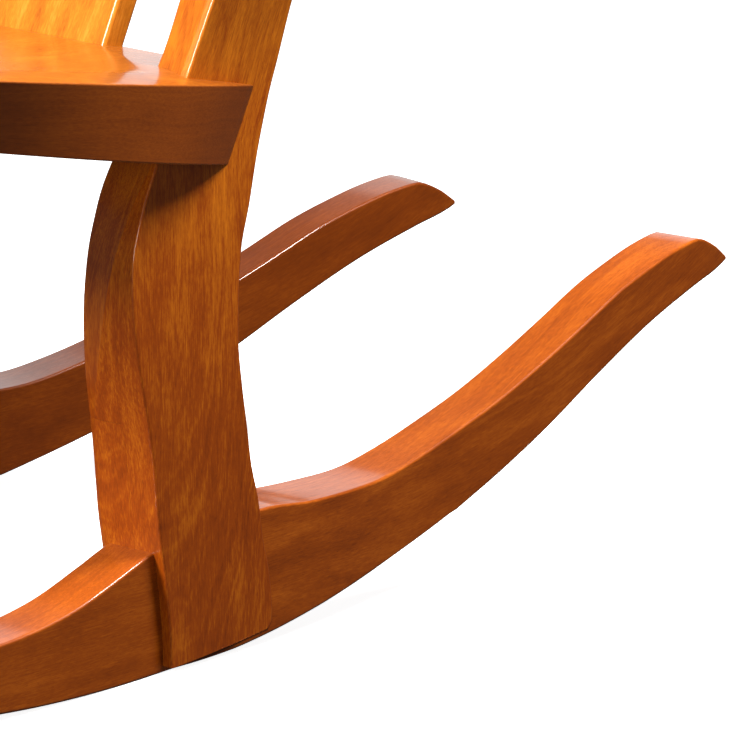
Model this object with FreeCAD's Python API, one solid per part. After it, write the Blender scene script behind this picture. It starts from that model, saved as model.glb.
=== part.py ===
"""Sculpted solid-cherry rocking chair, modelled piece by piece in millimetres.

Frame: X is the chair's width with X = 0 its symmetry plane, -Y is the front,
Z is up and Z = 0 is the floor.  The sitter's left is +X.

Each side of the chair is laid out in its own runner frame, turned by TOE about Z
so that the rockers come closer together at the rear: `a` runs outwards from the
rocker's middle plane, `b` runs rearwards along the rocker, and `z` is up.
"""
import FreeCAD
import Part
import os
from math import acos, cos, exp, hypot, radians, sin, sqrt, tan

V = FreeCAD.Vector

# ---------------------------------------------------------------- driving dimensions
TOE = 7.26                # degrees that each rocker turns in towards the rear
RUNNER_X = 208.5          # half the rocker spacing, middle to middle, at Y = 0
ROLL_RADIUS = 1050.0      # radius of the rockers' rolling arc
ROLL_B = -78.0            # b of the lowest point of that arc
ROCKER_HALF = 20.0        # half the rocker's thickness
ROCKER_EDGE = 1.8         # radius of the rocker's long edges
FOOT_HALF = 27.8          # half the thickness of the rear leg's foot
CHEEK_LIFT = 4.3          # the foot's cheeks end this far above the rocker's underside
BLOCK_TOP = 163.0         # top of the raised block that fills the foot's inner half
BLOCK_FACE = 4.0          # a of the glue face between the block and the leg

SEAT_SLOPE = 9.3          # degrees that the seat's top falls towards the rear
UNDER_SLOPE = 11.0        # degrees that the flat underside falls towards the rear
SEAT_REF = (38.3, 367.2)  # Y and z of a point on the seat's top plane
UNDER_REF = (13.0, 319.7)  # Y and z of a point on the underside
SEAT_REAR = 70.0          # Y of the seat's rear edge
SEAT_REAR_X = 197.0       # half the length of that edge
SEAT_FRONT = -436.0       # Y of the middle of the seat's front edge
CROWN = 5.5               # rise of the rim above its outer edge
CROWN_WIDTH = 50.0        # distance from the edge over which the rim rises
RIM = 28.0                # width of the flat rim beside the scoop
SCOOP_DEPTH = 15.0
BOARD_SEAMS = (-180.0, -60.0, 60.0, 180.0)

POST_TOP = 1062.0
SPLAT_HALF = 63.0
SPLAT_THICK = 18.5
FRONT_LEG_Y = -369.0      # Y of the front legs' centre line
ARM_TOP = 668.0

SCREW_R = 2.5
SCREW_HEAD_R = 4.5
PLUG_R = 5.0
DOWEL_R = 5.0             # dowels in the rear legs and the crest rail
FRONT_DOWEL_R = 6.0       # dowels at both ends of the front legs
SEAT_DOWEL_R = 4.0        # dowels across the joints of the seat's boards
SEAT_DOWEL_YS = (-350.0, -210.0, -70.0)
LEG_DOWEL_BS = (-28.0, 12.0)
FRONT_SCREW_Z = 412.0     # screw from the front leg into the seat
REAR_SCREW_Z = 352.0      # screw from the rear leg into the seat
ARM_SCREW_Z = 650.0       # screw from the arm into the back post

SIDES = (("left", 1), ("right", -1))


# ---------------------------------------------------------------- small helpers
def smooth(keys):
    """A smooth function through (x, y) keys: cubic pieces with finite-difference slopes."""
    xs = [k[0] for k in keys]
    ys = [k[1] for k in keys]
    last = len(keys) - 1
    slopes = []
    for i in range(last + 1):
        low, high = max(i - 1, 0), min(i + 1, last)
        slopes.append((ys[high] - ys[low]) / (xs[high] - xs[low]))

    def value(x):
        x = min(max(x, xs[0]), xs[-1])
        i = 0
        while i < last - 1 and x > xs[i + 1]:
            i += 1
        span = xs[i + 1] - xs[i]
        t = (x - xs[i]) / span
        h1 = t * t * (3 - 2 * t)
        start = slopes[i] * span * t * (1 - t) ** 2
        end = slopes[i + 1] * span * t * t * (t - 1)
        return ys[i] * (1 - h1) + ys[i + 1] * h1 + start + end

    return value


def stations(low, high, count):
    return [low + (high - low) * i / (count - 1) for i in range(count)]


def rounded_polygon(place, corners, radius):
    """A closed wire through the corners, each rounded; place(u, v) puts a point in space."""
    count = len(corners)
    arcs = []
    for i, (u, v) in enumerate(corners):
        legs = []
        for pu, pv in (corners[i - 1], corners[(i + 1) % count]):
            length = hypot(pu - u, pv - v)
            legs.append(((pu - u) / length, (pv - v) / length, length))
        (au, av, a_length), (bu, bv, b_length) = legs
        half = 0.5 * acos(max(-1.0, min(1.0, au * bu + av * bv)))
        reach = min(radius / tan(half), 0.46 * a_length, 0.46 * b_length)
        r = reach * tan(half)
        mu, mv = au + bu, av + bv
        size = hypot(mu, mv)
        bulge = (r / sin(half) - r) / size
        arcs.append(((u + au * reach, v + av * reach), (u + mu * bulge, v + mv * bulge),
                     (u + bu * reach, v + bv * reach)))
    edges = []
    for i, arc in enumerate(arcs):
        start, top, end = [place(*p) for p in arc]
        following = place(*arcs[(i + 1) % count][0])
        edges.append(Part.Arc(start, top, end).toShape())
        edges.append(Part.LineSegment(end, following).toShape())
    return Part.Wire(edges)


def rounded(place, u0, u1, v0, v1, radius):
    """A rounded rectangle as a wire."""
    return rounded_polygon(place, ((u0, v0), (u1, v0), (u1, v1), (u0, v1)), radius)


def loft(wires):
    return Part.makeLoft(wires, True, False)


def to_side(shape, side):
    """Carry a shape from the runner frame to the chair's frame, on one side of it."""
    moved = shape.copy()
    moved.rotate(V(0, 0, 0), V(0, 0, 1), TOE)
    moved.translate(V(RUNNER_X, 0, 0))
    if side < 0:
        moved = moved.mirror(V(0, 0, 0), V(1, 0, 0))
    return moved


def mirrored(shape, side):
    if side > 0:
        return shape.copy()
    return shape.mirror(V(0, 0, 0), V(1, 0, 0))


def runner_point(a, b, z):
    """A point of the left runner frame in the chair's frame."""
    c, s = cos(radians(TOE)), sin(radians(TOE))
    return V(RUNNER_X + a * c - b * s, a * s + b * c, z)


def rod(start, end, radius):
    return Part.makeCylinder(radius, (end - start).Length, start, end - start)


def slab(x0, x1, y0, y1, z0, z1):
    return Part.makeBox(x1 - x0, y1 - y0, z1 - z0, V(x0, y0, z0))


def export(shape, node):
    """Write one node's solids to its file and print what they measure."""
    solids = shape.Solids
    bad = [s for s in solids if not s.isValid() or s.Volume <= 0]
    whole = solids[0] if len(solids) == 1 else Part.makeCompound(solids)
    whole.exportStep("parts/" + node + ".step")
    box = whole.BoundBox
    print("%-22s solids %2d  cm3 %7.1f  x %5.0f %5.0f  y %5.0f %5.0f  z %5.0f %5.0f%s" % (
        node, len(solids), whole.Volume / 1000, box.XMin, box.XMax, box.YMin, box.YMax,
        box.ZMin, box.ZMax, "  BAD" if bad else ""))
    PIECES[node] = whole


PIECES = {}


# ---------------------------------------------------------------- rockers
def arc_z(b):
    """Height of the rolling arc above the floor."""
    return ROLL_RADIUS - sqrt(ROLL_RADIUS ** 2 - (b - ROLL_B) ** 2)


# The underside follows the rolling arc up to ARC_END, then the tail sweeps up and levels out.
ARC_END = 235.0
tail_under = smooth([(ARC_END, 46.8), (284.5, 65.1), (337, 87.6), (392, 114.8), (448, 140.3),
                     (500, 159.0), (523, 165.8), (532, 169.0)])
rocker_top = smooth([(-532, 128.5), (-500, 121), (-460, 111), (-425, 106), (-398, 104.5),
                     (-345, 92), (-318, 77), (-285, 64), (-245, 55), (-215, 51.5), (-190, 50.6),
                     (-156, 53.1), (-122, 59.0), (-85, 70.5), (-56, 80), (-5, 90), (46, 91.2),
                     (65, 89.3), (84, 87.0), (123, 85.5), (163, 86.4), (204, 94.0), (244, 104.6),
                     (286, 117.1), (329, 133.1), (373, 151.4), (416, 170.0), (461, 184.4),
                     (484, 189.8), (505, 192.4), (513, 189.3), (523, 184.5), (532, 178.2)])
rocker_half = smooth([(-532, 17.5), (-480, 19.5), (-430, ROCKER_HALF), (-45, ROCKER_HALF),
                      (-20, 23.5), (10, FOOT_HALF - 0.8), (22, FOOT_HALF - 0.5), (45, FOOT_HALF - 0.5),
                      (60, 27.0), (110, 25.2), (170, 21.6), (230, 20.2), (300, 19.8), (470, 19.8),
                      (515, 19.8), (532, 18.8)])


def rocker_under(b):
    return arc_z(b) if b <= ARC_END else tail_under(b)


def rocker_section(b, half, low, high, radius):
    return rounded(lambda u, v: V(u, b, v), -half, half, low, high, radius)


def rocker_blank():
    """The rocker with rounded edges, as wide behind the foot as the foot itself."""
    wires = [rocker_section(-536.5, 15, 106, 121, ROCKER_EDGE)]
    for b in stations(-532, 532, 60):
        low = rocker_under(b) if b > -531 else 102.5
        wires.append(rocker_section(b, rocker_half(b), low, rocker_top(b), ROCKER_EDGE))
    wires.append(rocker_section(536.8, 18.2, 171.4, 174.4, 1.2))
    return loft(wires)


# ---------------------------------------------------------------- rear legs
leg_front = smooth([(0, -48.4), (25, -48.6), (60, -52), (100, -58), (133, -60.6), (160, -64.5),
                    (200, -72.2), (228, -76), (254, -77.2), (274, -75.5), (291, -70.7), (309, -64),
                    (330, -53.4), (357, -39.5), (384, -24), (430, -4.5), (520, 32), (640, 78),
                    (760, 122), (880, 165), (980, 201), (POST_TOP, 231)])
leg_rear = smooth([(0, 43), (11, 45.5), (25, 46.4), (53, 43.5), (70, 39), (99, 34.9), (122, 29.1),
                   (149, 25.3), (176, 21.4), (203, 18.6), (238, 19.5), (267, 22.9), (291, 30.1),
                   (325, 38.7), (356, 48.5), (385, 59.0), (430, 71.5), (520, 96), (640, 130),
                   (760, 167), (880, 205), (980, 239), (POST_TOP, 268)])
leg_outer = smooth([(0, FOOT_HALF), (340, FOOT_HALF), (370, 27.9), (400, 29.8), (430, 33.6), (520, 45),
                    (640, 58), (760, 70), (880, 80.5), (980, 88), (POST_TOP, 93)])
leg_inner = smooth([(0, -FOOT_HALF), (250, -FOOT_HALF), (290, -27), (322, -24.5), (350, -20),
                    (384, -14), (430, -9.5), (520, 4), (640, 20), (760, 33), (880, 44), (980, 52),
                    (POST_TOP, 57)])
# The front of the leg has a long facet that winds round from its inner corner: how far it
# reaches across the front edge, and how far back along the inner face.
facet_wide = smooth([(0, 5), (120, 5), (150, 6), (183, 13.5), (209, 22), (241, 31), (275, 39.5),
                     (309, 45), (330, 47), (350, 42), (384, 36), (430, 37), (520, 29), (640, 14),
                     (760, 10), (POST_TOP, 9)])
facet_deep = smooth([(0, 2), (120, 2), (150, 3), (180, 5), (219, 9.5), (238, 12), (260, 15),
                     (281, 16.5), (304, 16), (322, 16), (350, 17), (384, 18), (430, 17), (520, 13),
                     (640, 10), (760, 9), (POST_TOP, 8)])
leg_radius = smooth([(0, 1.6), (300, 1.6), (430, 1.8), (520, 4), (640, 8), (880, 9), (POST_TOP, 9)])


def rear_leg_blank():
    """Foot, leg and back post as one long shaped plank."""
    wires = []
    for z in stations(0, POST_TOP, 44):
        inner, outer = leg_inner(z), leg_outer(z)
        front, rear = leg_front(z), leg_rear(z)
        corners = ((outer, front), (outer, rear), (inner, rear), (inner, front + facet_deep(z)),
                   (inner + facet_wide(z), front))
        wires.append(rounded_polygon(lambda u, v: V(u, v, z), corners, leg_radius(z)))
    blank = loft(wires)
    axis_start = V(-200, ROLL_B, ROLL_RADIUS)
    trim = Part.makeCylinder(ROLL_RADIUS - CHEEK_LIFT, 500, axis_start, V(1, 0, 0))
    return blank.common(trim)


# ---------------------------------------------------------------- seat
edge_x = smooth([(-436, 262), (-415, 286), (-392, 297), (-350, 303), (-300, 303), (-250, 300.5),
                 (-213, 297), (-169, 289.5), (-123, 281), (-76, 270.5), (-37, 259), (-3, 248),
                 (38.3, 231.7), (70, 219)])
SIDE_TOP = ((231.7, 38.3), (248, -3), (259, -37), (270.5, -76), (281, -123), (289.5, -169),
            (297, -213), (303, -290), (301, -370), (286, -415))
SIDE_UNDER = ((235, 13), (245, -9), (254, -32), (264, -66), (272, -108), (276.5, -151),
              (278, -196), (281, -275), (279, -350), (268, -392))
FRONT_TOP = ((286, -415), (240, -431), (120, -435), (0, SEAT_FRONT))
FRONT_UNDER = ((268, -392), (228, -406), (118, -409), (0, -410))


def top_plane(y):
    return SEAT_REF[1] + tan(radians(SEAT_SLOPE)) * (SEAT_REF[0] - y)


def under_plane(y):
    return UNDER_REF[1] + tan(radians(UNDER_SLOPE)) * (UNDER_REF[0] - y)


def spline_edge(points):
    curve = Part.BSplineCurve()
    curve.interpolate(points)
    return curve.toShape()


def seat_wire(side, front, rear_x, rear_y, height, lift):
    """The seat's outline at the height that a plane gives, lifted a little."""
    def at(x, y):
        return V(x, y, height(y) + lift)

    right = [at(x, y) for x, y in side]
    left = [at(-x, y) for x, y in side]
    across = [at(x, y) for x, y in front] + [at(-x, y) for x, y in reversed(front[:-1])]
    edges = [
        Part.LineSegment(at(-rear_x, rear_y), at(rear_x, rear_y)).toShape(),
        Part.LineSegment(at(rear_x, rear_y), right[0]).toShape(),
        spline_edge(right),
        spline_edge(across),
        spline_edge(list(reversed(left))),
        Part.LineSegment(left[0], at(-rear_x, rear_y)).toShape(),
    ]
    return Part.Wire(edges)


def ramp(distance, length):
    """0 at the edge, 1 at `length` and beyond, with a crisp start; negative outside."""
    if distance <= 0:
        return 2 * distance / length
    t = min(distance / length, 1.0)
    return 1 - (1 - t) ** 2


def crown(x, y):
    inside = edge_x(y) - abs(x)
    return CROWN * ramp(inside, CROWN_WIDTH) if inside > 0 else CROWN * 2 * inside / CROWN_WIDTH


rear_limit = smooth([(0, 49), (63, 43), (98, 24.5), (153, -3.5), (190, -21), (225, -38), (300, -78)])


def scoop(x, y):
    """Depth of the hollow below the rim; negative outside the hollow's edge."""
    side_way = ramp(edge_x(y) - RIM - abs(x), 150.0)
    rear_way = ramp(rear_limit(abs(x)) - y, 170.0)
    soft = 0.12
    least = 0.5 * (side_way + rear_way - sqrt((side_way - rear_way) ** 2 + soft ** 2)) + soft / 4
    thigh = 1.0 - 0.45 * exp(-((y + 424) / 95.0) ** 2)
    ridge = 6.0 * exp(-(x / 62.0) ** 2) * exp(-((y + 424) / 120.0) ** 2)
    depth = SCOOP_DEPTH * least * thigh
    return depth - ridge if least > 0 else depth


def height_face(height, x_half, y_low, y_high, count_x, count_y):
    rows = []
    for x in stations(-x_half, x_half, count_x):
        rows.append([V(x, y, height(x, y)) for y in stations(y_low, y_high, count_y)])
    surface = Part.BSplineSurface()
    surface.interpolate(rows)
    return surface.toShape()


def seat_blank():
    """The whole seat before it is split into boards and cut for the legs."""
    top = seat_wire(SIDE_TOP, FRONT_TOP, SEAT_REAR_X, SEAT_REAR, top_plane, CROWN + 2)
    under = seat_wire(SIDE_UNDER, FRONT_UNDER, SEAT_REAR_X, SEAT_REAR - 8, under_plane, 0)
    block = Part.makeLoft([under, top], True, True)
    rim_face = height_face(lambda x, y: top_plane(y) + crown(x, y), 345, -470, 110, 47, 37)
    block = block.cut(rim_face.extrude(V(0, 0, 120)))
    hollow = height_face(lambda x, y: top_plane(y) + crown(x, y) - scoop(x, y),
                         345, -470, 110, 47, 37)
    return block.cut(hollow.extrude(V(0, 0, 120)))


# ---------------------------------------------------------------- back
splat_y = smooth([(330, 44), (366, 59), (410, 78.5), (450, 96), (550, 135), (700, 187), (850, 235),
                  (950, 264), (1070, 298)])
splat_half = smooth([(330, SPLAT_HALF), (600, SPLAT_HALF), (800, 66), (950, 71), (1070, 76)])


def splat_blank():
    wires = []
    for z in stations(340, 1064, 22):
        middle = splat_y(z)
        wires.append(rounded(lambda u, v: V(u, v, z), -splat_half(z), splat_half(z),
                             middle - SPLAT_THICK / 2, middle + SPLAT_THICK / 2, 3.0))
    return loft(wires)


CREST_LEAN = 17.0
crest_y = smooth([(-300, 256), (-255, 266), (-150, 289), (0, 304), (150, 289), (255, 266), (300, 256)])
crest_z = smooth([(-300, 1066), (-255, 1071), (-150, 1080), (0, 1087), (150, 1080), (255, 1071),
                  (300, 1066)])
crest_high = smooth([(-300, 20), (-285, 26), (-255, 32), (-150, 37), (0, 42), (150, 37), (255, 32),
                     (285, 26), (300, 20)])
crest_thick = smooth([(-300, 12), (-285, 16), (-255, 17.5), (-150, 14.5), (0, 13), (150, 14.5),
                      (255, 17.5), (285, 16), (300, 12)])


def crest_blank():
    """The head rail: leaning back, hollowed in plan and arched along its top."""
    lean = radians(CREST_LEAN)
    wires = []
    for x in stations(-300, 300, 25):
        def place(u, v, x=x):
            return V(x, crest_y(x) + u * cos(lean) + v * sin(lean),
                     crest_z(x) - u * sin(lean) + v * cos(lean))
        wires.append(rounded(place, -crest_thick(x), crest_thick(x), -crest_high(x), crest_high(x), 10))
    return loft(wires)


# ---------------------------------------------------------------- front legs and arms
front_x = smooth([(60, 253), (110, 258), (200, 271), (300, 286), (380, 295), (440, 300), (540, 304),
                  (700, 308)])
front_half_x = smooth([(60, 22), (110, 20.5), (170, 18.5), (260, 18), (340, 20), (385, 22.5),
                       (440, 22.5), (480, 19.5), (560, 17), (620, 20), (700, 25)])
front_half_y = smooth([(60, 30), (110, 27), (170, 22.5), (260, 20.5), (340, 23), (385, 26),
                       (440, 26), (480, 22.5), (560, 19), (620, 22.5), (700, 28)])
front_radius = smooth([(60, 5), (110, 7), (170, 13), (260, 16), (340, 15), (385, 6), (440, 6),
                       (480, 14), (560, 16), (700, 18)])


def front_leg_blank():
    wires = []
    for z in stations(70, 652, 34):
        x = front_x(z)
        wires.append(rounded(lambda u, v: V(u, v, z), x - front_half_x(z), x + front_half_x(z),
                             FRONT_LEG_Y - front_half_y(z), FRONT_LEG_Y + front_half_y(z),
                             front_radius(z)))
    return loft(wires)


arm_x = smooth([(-452, 312), (-350, 310), (-200, 306), (-100, 299), (0, 289), (60, 281), (128, 271)])
arm_half = smooth([(-452, 20), (-446, 31), (-430, 40), (-400, 46), (-350, 47), (-280, 41), (-200, 33),
                   (-100, 26), (0, 24), (60, 24), (110, 24), (128, 20)])
arm_top = smooth([(-452, 672), (-430, 676), (-350, ARM_TOP + 6), (-200, ARM_TOP), (-60, ARM_TOP - 6),
                  (60, ARM_TOP), (128, ARM_TOP + 6)])
arm_thick = smooth([(-452, 14), (-446, 20), (-430, 25), (-350, 32), (-200, 28), (0, 30), (60, 38),
                    (128, 40)])


def arm_blank():
    wires = []
    for y in stations(-452, 128, 36):
        high = arm_top(y)
        wires.append(rounded(lambda u, v: V(u, y, v), arm_x(y) - arm_half(y), arm_x(y) + arm_half(y),
                             high - arm_thick(y), high, 9))
    return loft(wires)


# ---------------------------------------------------------------- build
os.makedirs("parts", exist_ok=True)

rocker_full = rocker_blank()
leg_full = rear_leg_blank()
front_full = front_leg_blank()
arm_full = arm_blank()
crest_full = crest_blank()
splat_full = splat_blank()
seat_full = seat_blank()

# Rear leg over rocker: a bridle joint.  The foot's cheeks pass outside the rocker.
core = slab(-ROCKER_HALF, ROCKER_HALF, -600, 600, -50, 300)
cheeks = leg_full.cut(core)
rocker_local = rocker_full.cut(cheeks)
leg_local = leg_full.cut(rocker_local)
block_space = slab(-60, BLOCK_FACE, -200, 200, -20, BLOCK_TOP)
block_local = leg_local.common(block_space)
leg_local = leg_local.cut(block_space)

# Dowels stand in the rear leg's slot, from the rocker up into the leg.
leg_dowels_local = [rod(V(-8, b, 58), V(-8, b, 138), DOWEL_R) for b in LEG_DOWEL_BS]
for pin in leg_dowels_local:
    rocker_local = rocker_local.cut(pin)
    block_local = block_local.cut(pin)

leg_dowels = []
front_dowels = []
arm_dowels = []
crest_dowels = []
front_screws = []
front_plugs = []
rear_screws = []
rear_plugs = []
arm_screws = []
arm_plugs = []


def screw(start, end):
    """A countersunk wood screw: shank and conical head, head at `start`."""
    along = (end - start).normalize()
    head = Part.makeCone(SCREW_HEAD_R, SCREW_R, 4.0, start, along)
    shank = rod(start + along * 3.9, end, SCREW_R)
    return head.fuse(shank).removeSplitter()


seat_cut = seat_full
splat_cut = splat_full
crest_cut = crest_full
splat_cut = splat_cut.cut(crest_full)
seat_cut = seat_cut.cut(splat_full)
for name, side in SIDES:
    leg = to_side(leg_local, side)
    leg_whole = to_side(leg_full, side)
    rocker = to_side(rocker_local, side)
    block = to_side(block_local, side)
    front = mirrored(front_full, side).cut(rocker)
    arm = mirrored(arm_full, side)
    leg = max(leg.cut(crest_full).Solids, key=lambda solid: solid.Volume)
    seat_cut = seat_cut.cut(leg_whole).cut(mirrored(front_full, side))
    front = front.cut(arm)
    arm = arm.cut(leg_whole)

    leg_dowels += [to_side(pin, side) for pin in leg_dowels_local]

    pin = mirrored(rod(V(front_x(100), FRONT_LEG_Y, 66), V(front_x(145), FRONT_LEG_Y, 145), FRONT_DOWEL_R),
                   side)
    front_dowels.append(pin)
    front = front.cut(pin)
    rocker = rocker.cut(pin)

    pin = mirrored(rod(V(306, FRONT_LEG_Y, 600), V(306, FRONT_LEG_Y, 660), FRONT_DOWEL_R), side)
    arm_dowels.append(pin)
    front = front.cut(pin)
    arm = arm.cut(pin)

    low = runner_point(72, 225, 990)
    high = runner_point(78, 250, 1062)
    pin = mirrored(rod(low, high, DOWEL_R), side)
    crest_dowels.append(pin)
    leg = leg.cut(pin)
    crest_cut = crest_cut.cut(pin)

    # Front leg to seat: a screw from the outside, its counterbore closed by a plug.
    out = V(330, FRONT_LEG_Y, FRONT_SCREW_Z)
    head = V(312, FRONT_LEG_Y, FRONT_SCREW_Z)
    tip = V(250, FRONT_LEG_Y, FRONT_SCREW_Z - 2)
    bore = mirrored(rod(head, out, PLUG_R), side)
    plug = bore.common(mirrored(front_full, side))
    fixing = mirrored(screw(head, tip), side)
    front_plugs.append(plug)
    front_screws.append(fixing)
    front = front.cut(bore).cut(fixing)
    seat_cut = seat_cut.cut(fixing)

    # Rear leg to seat: a screw from the leg's rear edge, also plugged.
    head = runner_point(14, 34, REAR_SCREW_Z)
    tip = runner_point(14, -78, REAR_SCREW_Z)
    out = runner_point(14, 60, REAR_SCREW_Z)
    bore = mirrored(rod(head, out, PLUG_R), side)
    plug = bore.common(leg_whole)
    fixing = mirrored(screw(head, tip), side)
    rear_plugs.append(plug)
    rear_screws.append(fixing)
    leg = leg.cut(bore).cut(fixing)
    seat_cut = seat_cut.cut(fixing)

    # Arm to back post: a screw from outside the arm into the post.
    head = V(283, 108, ARM_SCREW_Z)
    tip = V(236, 112, ARM_SCREW_Z)
    out = V(310, 106, ARM_SCREW_Z)
    bore = mirrored(rod(head, out, PLUG_R), side)
    plug = bore.common(arm)
    fixing = mirrored(screw(head, tip), side)
    arm_plugs.append(plug)
    arm_screws.append(fixing)
    arm = arm.cut(bore).cut(fixing)
    leg = leg.cut(fixing)

    export(rocker, "rocker_" + name)
    export(leg, "rear_leg_" + name)
    export(block, "foot_block_" + name)
    export(front, "front_leg_" + name)
    export(arm, "arm_" + name)

# The seat's boards, edge-glued with dowels across each joint.
seat_dowels = []
for seam in BOARD_SEAMS:
    for y in SEAT_DOWEL_YS:
        z = under_plane(y) + 17
        seat_dowels.append(rod(V(seam - 22, y, z), V(seam + 22, y, z), SEAT_DOWEL_R))
for pin in seat_dowels:
    seat_cut = seat_cut.cut(pin)
walls = (-400.0,) + BOARD_SEAMS + (400.0,)
for i in range(len(walls) - 1):
    board = seat_cut.common(slab(walls[i], walls[i + 1], -600, 200, 200, 600))
    export(board, "seat_board_%d" % (i + 1))

export(splat_cut, "back_splat")
export(crest_cut.cut(splat_cut), "crest_rail")
export(Part.makeCompound(seat_dowels), "seat_dowels")
export(Part.makeCompound(leg_dowels), "rear_leg_dowels")
export(Part.makeCompound(front_dowels), "front_leg_dowels")
export(Part.makeCompound(arm_dowels), "arm_dowels")
export(Part.makeCompound(crest_dowels), "crest_dowels")
export(Part.makeCompound(front_screws), "front_seat_screws")
export(Part.makeCompound(front_plugs), "front_seat_plugs")
export(Part.makeCompound(rear_screws), "rear_seat_screws")
export(Part.makeCompound(rear_plugs), "rear_seat_plugs")
export(Part.makeCompound(arm_screws), "arm_screws")
export(Part.makeCompound(arm_plugs), "arm_plugs")

mass = sum(p.Volume for p in PIECES.values())
centre = V(0, 0, 0)
for piece in PIECES.values():
    for solid in piece.Solids:
        centre += solid.CenterOfMass * solid.Volume
centre = centre * (1 / mass)
print("nodes %d  volume %.0f cm3  centre of mass %.1f %.1f %.1f" % (
    len(PIECES), mass / 1000, centre.x, centre.y, centre.z))
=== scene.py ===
# %% [markdown]
# # A sculpted rocking chair in varnished cherry
# The real chair is solid cherry: planks are sawn to a curve, rasped and sanded until every edge
# is soft, then rubbed with clear varnish.  The imported CAD model gives the frame, so this script
# starts by loading it.

# %% Load the frame
import bpy
import bmesh
from collections import namedtuple
from math import cos, exp, radians, sin, sqrt, tan
from mathutils import Matrix, Vector


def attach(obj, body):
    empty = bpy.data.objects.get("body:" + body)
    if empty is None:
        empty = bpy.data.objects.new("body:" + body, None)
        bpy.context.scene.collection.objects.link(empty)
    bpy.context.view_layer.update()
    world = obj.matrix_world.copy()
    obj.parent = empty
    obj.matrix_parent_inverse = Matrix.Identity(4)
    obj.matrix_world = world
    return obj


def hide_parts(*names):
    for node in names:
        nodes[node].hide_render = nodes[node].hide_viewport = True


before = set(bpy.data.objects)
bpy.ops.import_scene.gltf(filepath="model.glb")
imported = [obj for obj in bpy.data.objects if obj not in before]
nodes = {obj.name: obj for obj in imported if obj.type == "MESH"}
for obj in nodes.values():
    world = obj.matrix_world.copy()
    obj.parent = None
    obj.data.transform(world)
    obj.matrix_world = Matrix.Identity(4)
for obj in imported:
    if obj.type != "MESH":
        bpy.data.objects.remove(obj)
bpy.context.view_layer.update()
print("CAD nodes:", len(nodes))

# %% [markdown]
# ## Working in millimetres
# A woodworker measures in millimetres, Blender in metres.  The shapes below are written in
# millimetres and turned to metres once, when a mesh is made.

# %% Driving sizes
MM = 0.001
TOE = radians(7.26)        # each rocker turns in towards the rear
RUNNER_X = 208.5           # half the rocker spacing at Y = 0
ROLL_RADIUS = 1050.0
ROLL_B = -78.0             # lowest point of the rolling arc, along the rocker
ROCKER_HALF = 20.0         # half the rocker's thickness
ROCKER_EDGE = 1.8          # its sanded corner
FOOT_HALF = 27.8           # half the rear foot's thickness
CHEEK_LIFT = 4.3           # the foot's cheeks stop this far above the rocker's underside
BLOCK_TOP = 163.0          # top of the block that thickens the foot
BLOCK_FACE = 4.0           # where its glued face lies, across the rocker
SEAT_SLOPE = radians(9.3)
UNDER_SLOPE = radians(11.0)
SIDES = (("left", 1), ("right", -1))
print("the chair rolls on an arc of", ROLL_RADIUS, "mm")


# %% [markdown]
# ## Smooth curves from a few listed points
# A spokeshave gives long fair curves.  Each outline here is a handful of (place, value) pairs with
# a smooth cubic between them; the same few pairs drive the CAD part, so both models agree.

# %% Fair curve
def smooth(keys):
    """A function through (x, y) keys: cubic pieces with finite-difference slopes."""
    xs = [k[0] for k in keys]
    ys = [k[1] for k in keys]
    last = len(keys) - 1
    slopes = []
    for i in range(last + 1):
        low, high = max(i - 1, 0), min(i + 1, last)
        slopes.append((ys[high] - ys[low]) / (xs[high] - xs[low]))

    def value(x):
        x = min(max(x, xs[0]), xs[-1])
        i = 0
        while i < last - 1 and x > xs[i + 1]:
            i += 1
        span = xs[i + 1] - xs[i]
        t = (x - xs[i]) / span
        h1 = t * t * (3 - 2 * t)
        start = slopes[i] * span * t * (1 - t) ** 2
        end = slopes[i + 1] * span * t * t * (t - 1)
        return ys[i] * (1 - h1) + ys[i + 1] * h1 + start + end

    return value


def stations(low, high, count):
    return [low + (high - low) * i / (count - 1) for i in range(count)]


print("halfway between 0 and 10:", smooth([(0, 0), (1, 10)])(0.5))


# %% [markdown]
# ## Sections with sanded corners
# Every part of the chair is a plank whose corners were rounded over.  A section is a polygon with
# an arc in each corner.  The flats get a point close to each arc as well, a support loop, so that
# smooth shading bends the light only where the wood is really round.

# %% Rounded section
ARC_STEPS = 5
SUPPORT = 1.2              # mm from an arc to its support loop
SUPPORT_SHARE = 0.2        # and never further than this share of the flat
FLAT_SPANS = 3
EDGE_SHARE = 0.46          # an arc takes at most this share of an edge
TINY = 0.01


def rounded_section(corners, radius):
    """Points round a polygon with rounded corners, the same number for every section."""
    count = len(corners)
    arcs = []
    for i, (u, v) in enumerate(corners):
        before = Vector(corners[i - 1]) - Vector((u, v))
        after = Vector(corners[(i + 1) % count]) - Vector((u, v))
        half = before.angle(after) / 2
        reach = min(radius / tan(half), EDGE_SHARE * before.length, EDGE_SHARE * after.length)
        r = reach * tan(half)
        inwards = (before.normalized() + after.normalized()).normalized()
        centre = Vector((u, v)) + inwards * (r / sin(half))
        first = Vector((u, v)) + before.normalized() * reach - centre
        final = Vector((u, v)) + after.normalized() * reach - centre
        arc = []
        for k in range(ARC_STEPS + 1):
            t = k / ARC_STEPS
            turned = (first * (1 - t) + final * t).normalized() * r
            arc.append(centre + turned)
        arcs.append(arc)
    points = []
    for i, arc in enumerate(arcs):
        points += arc
        start, end = arc[-1], arcs[(i + 1) % count][0]
        step = min(SUPPORT / max((end - start).length, TINY), SUPPORT_SHARE)
        between = stations(step, 1 - step, FLAT_SPANS + 1)[1:-1]
        points += [start.lerp(end, t) for t in (step, *between, 1 - step)]
    return points


def box_section(u0, u1, v0, v1, radius):
    return rounded_section(((u0, v0), (u1, v0), (u1, v1), (u0, v1)), radius)


print("points in a four-cornered section:", len(box_section(-20, 20, -30, 30, 4)))


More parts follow.
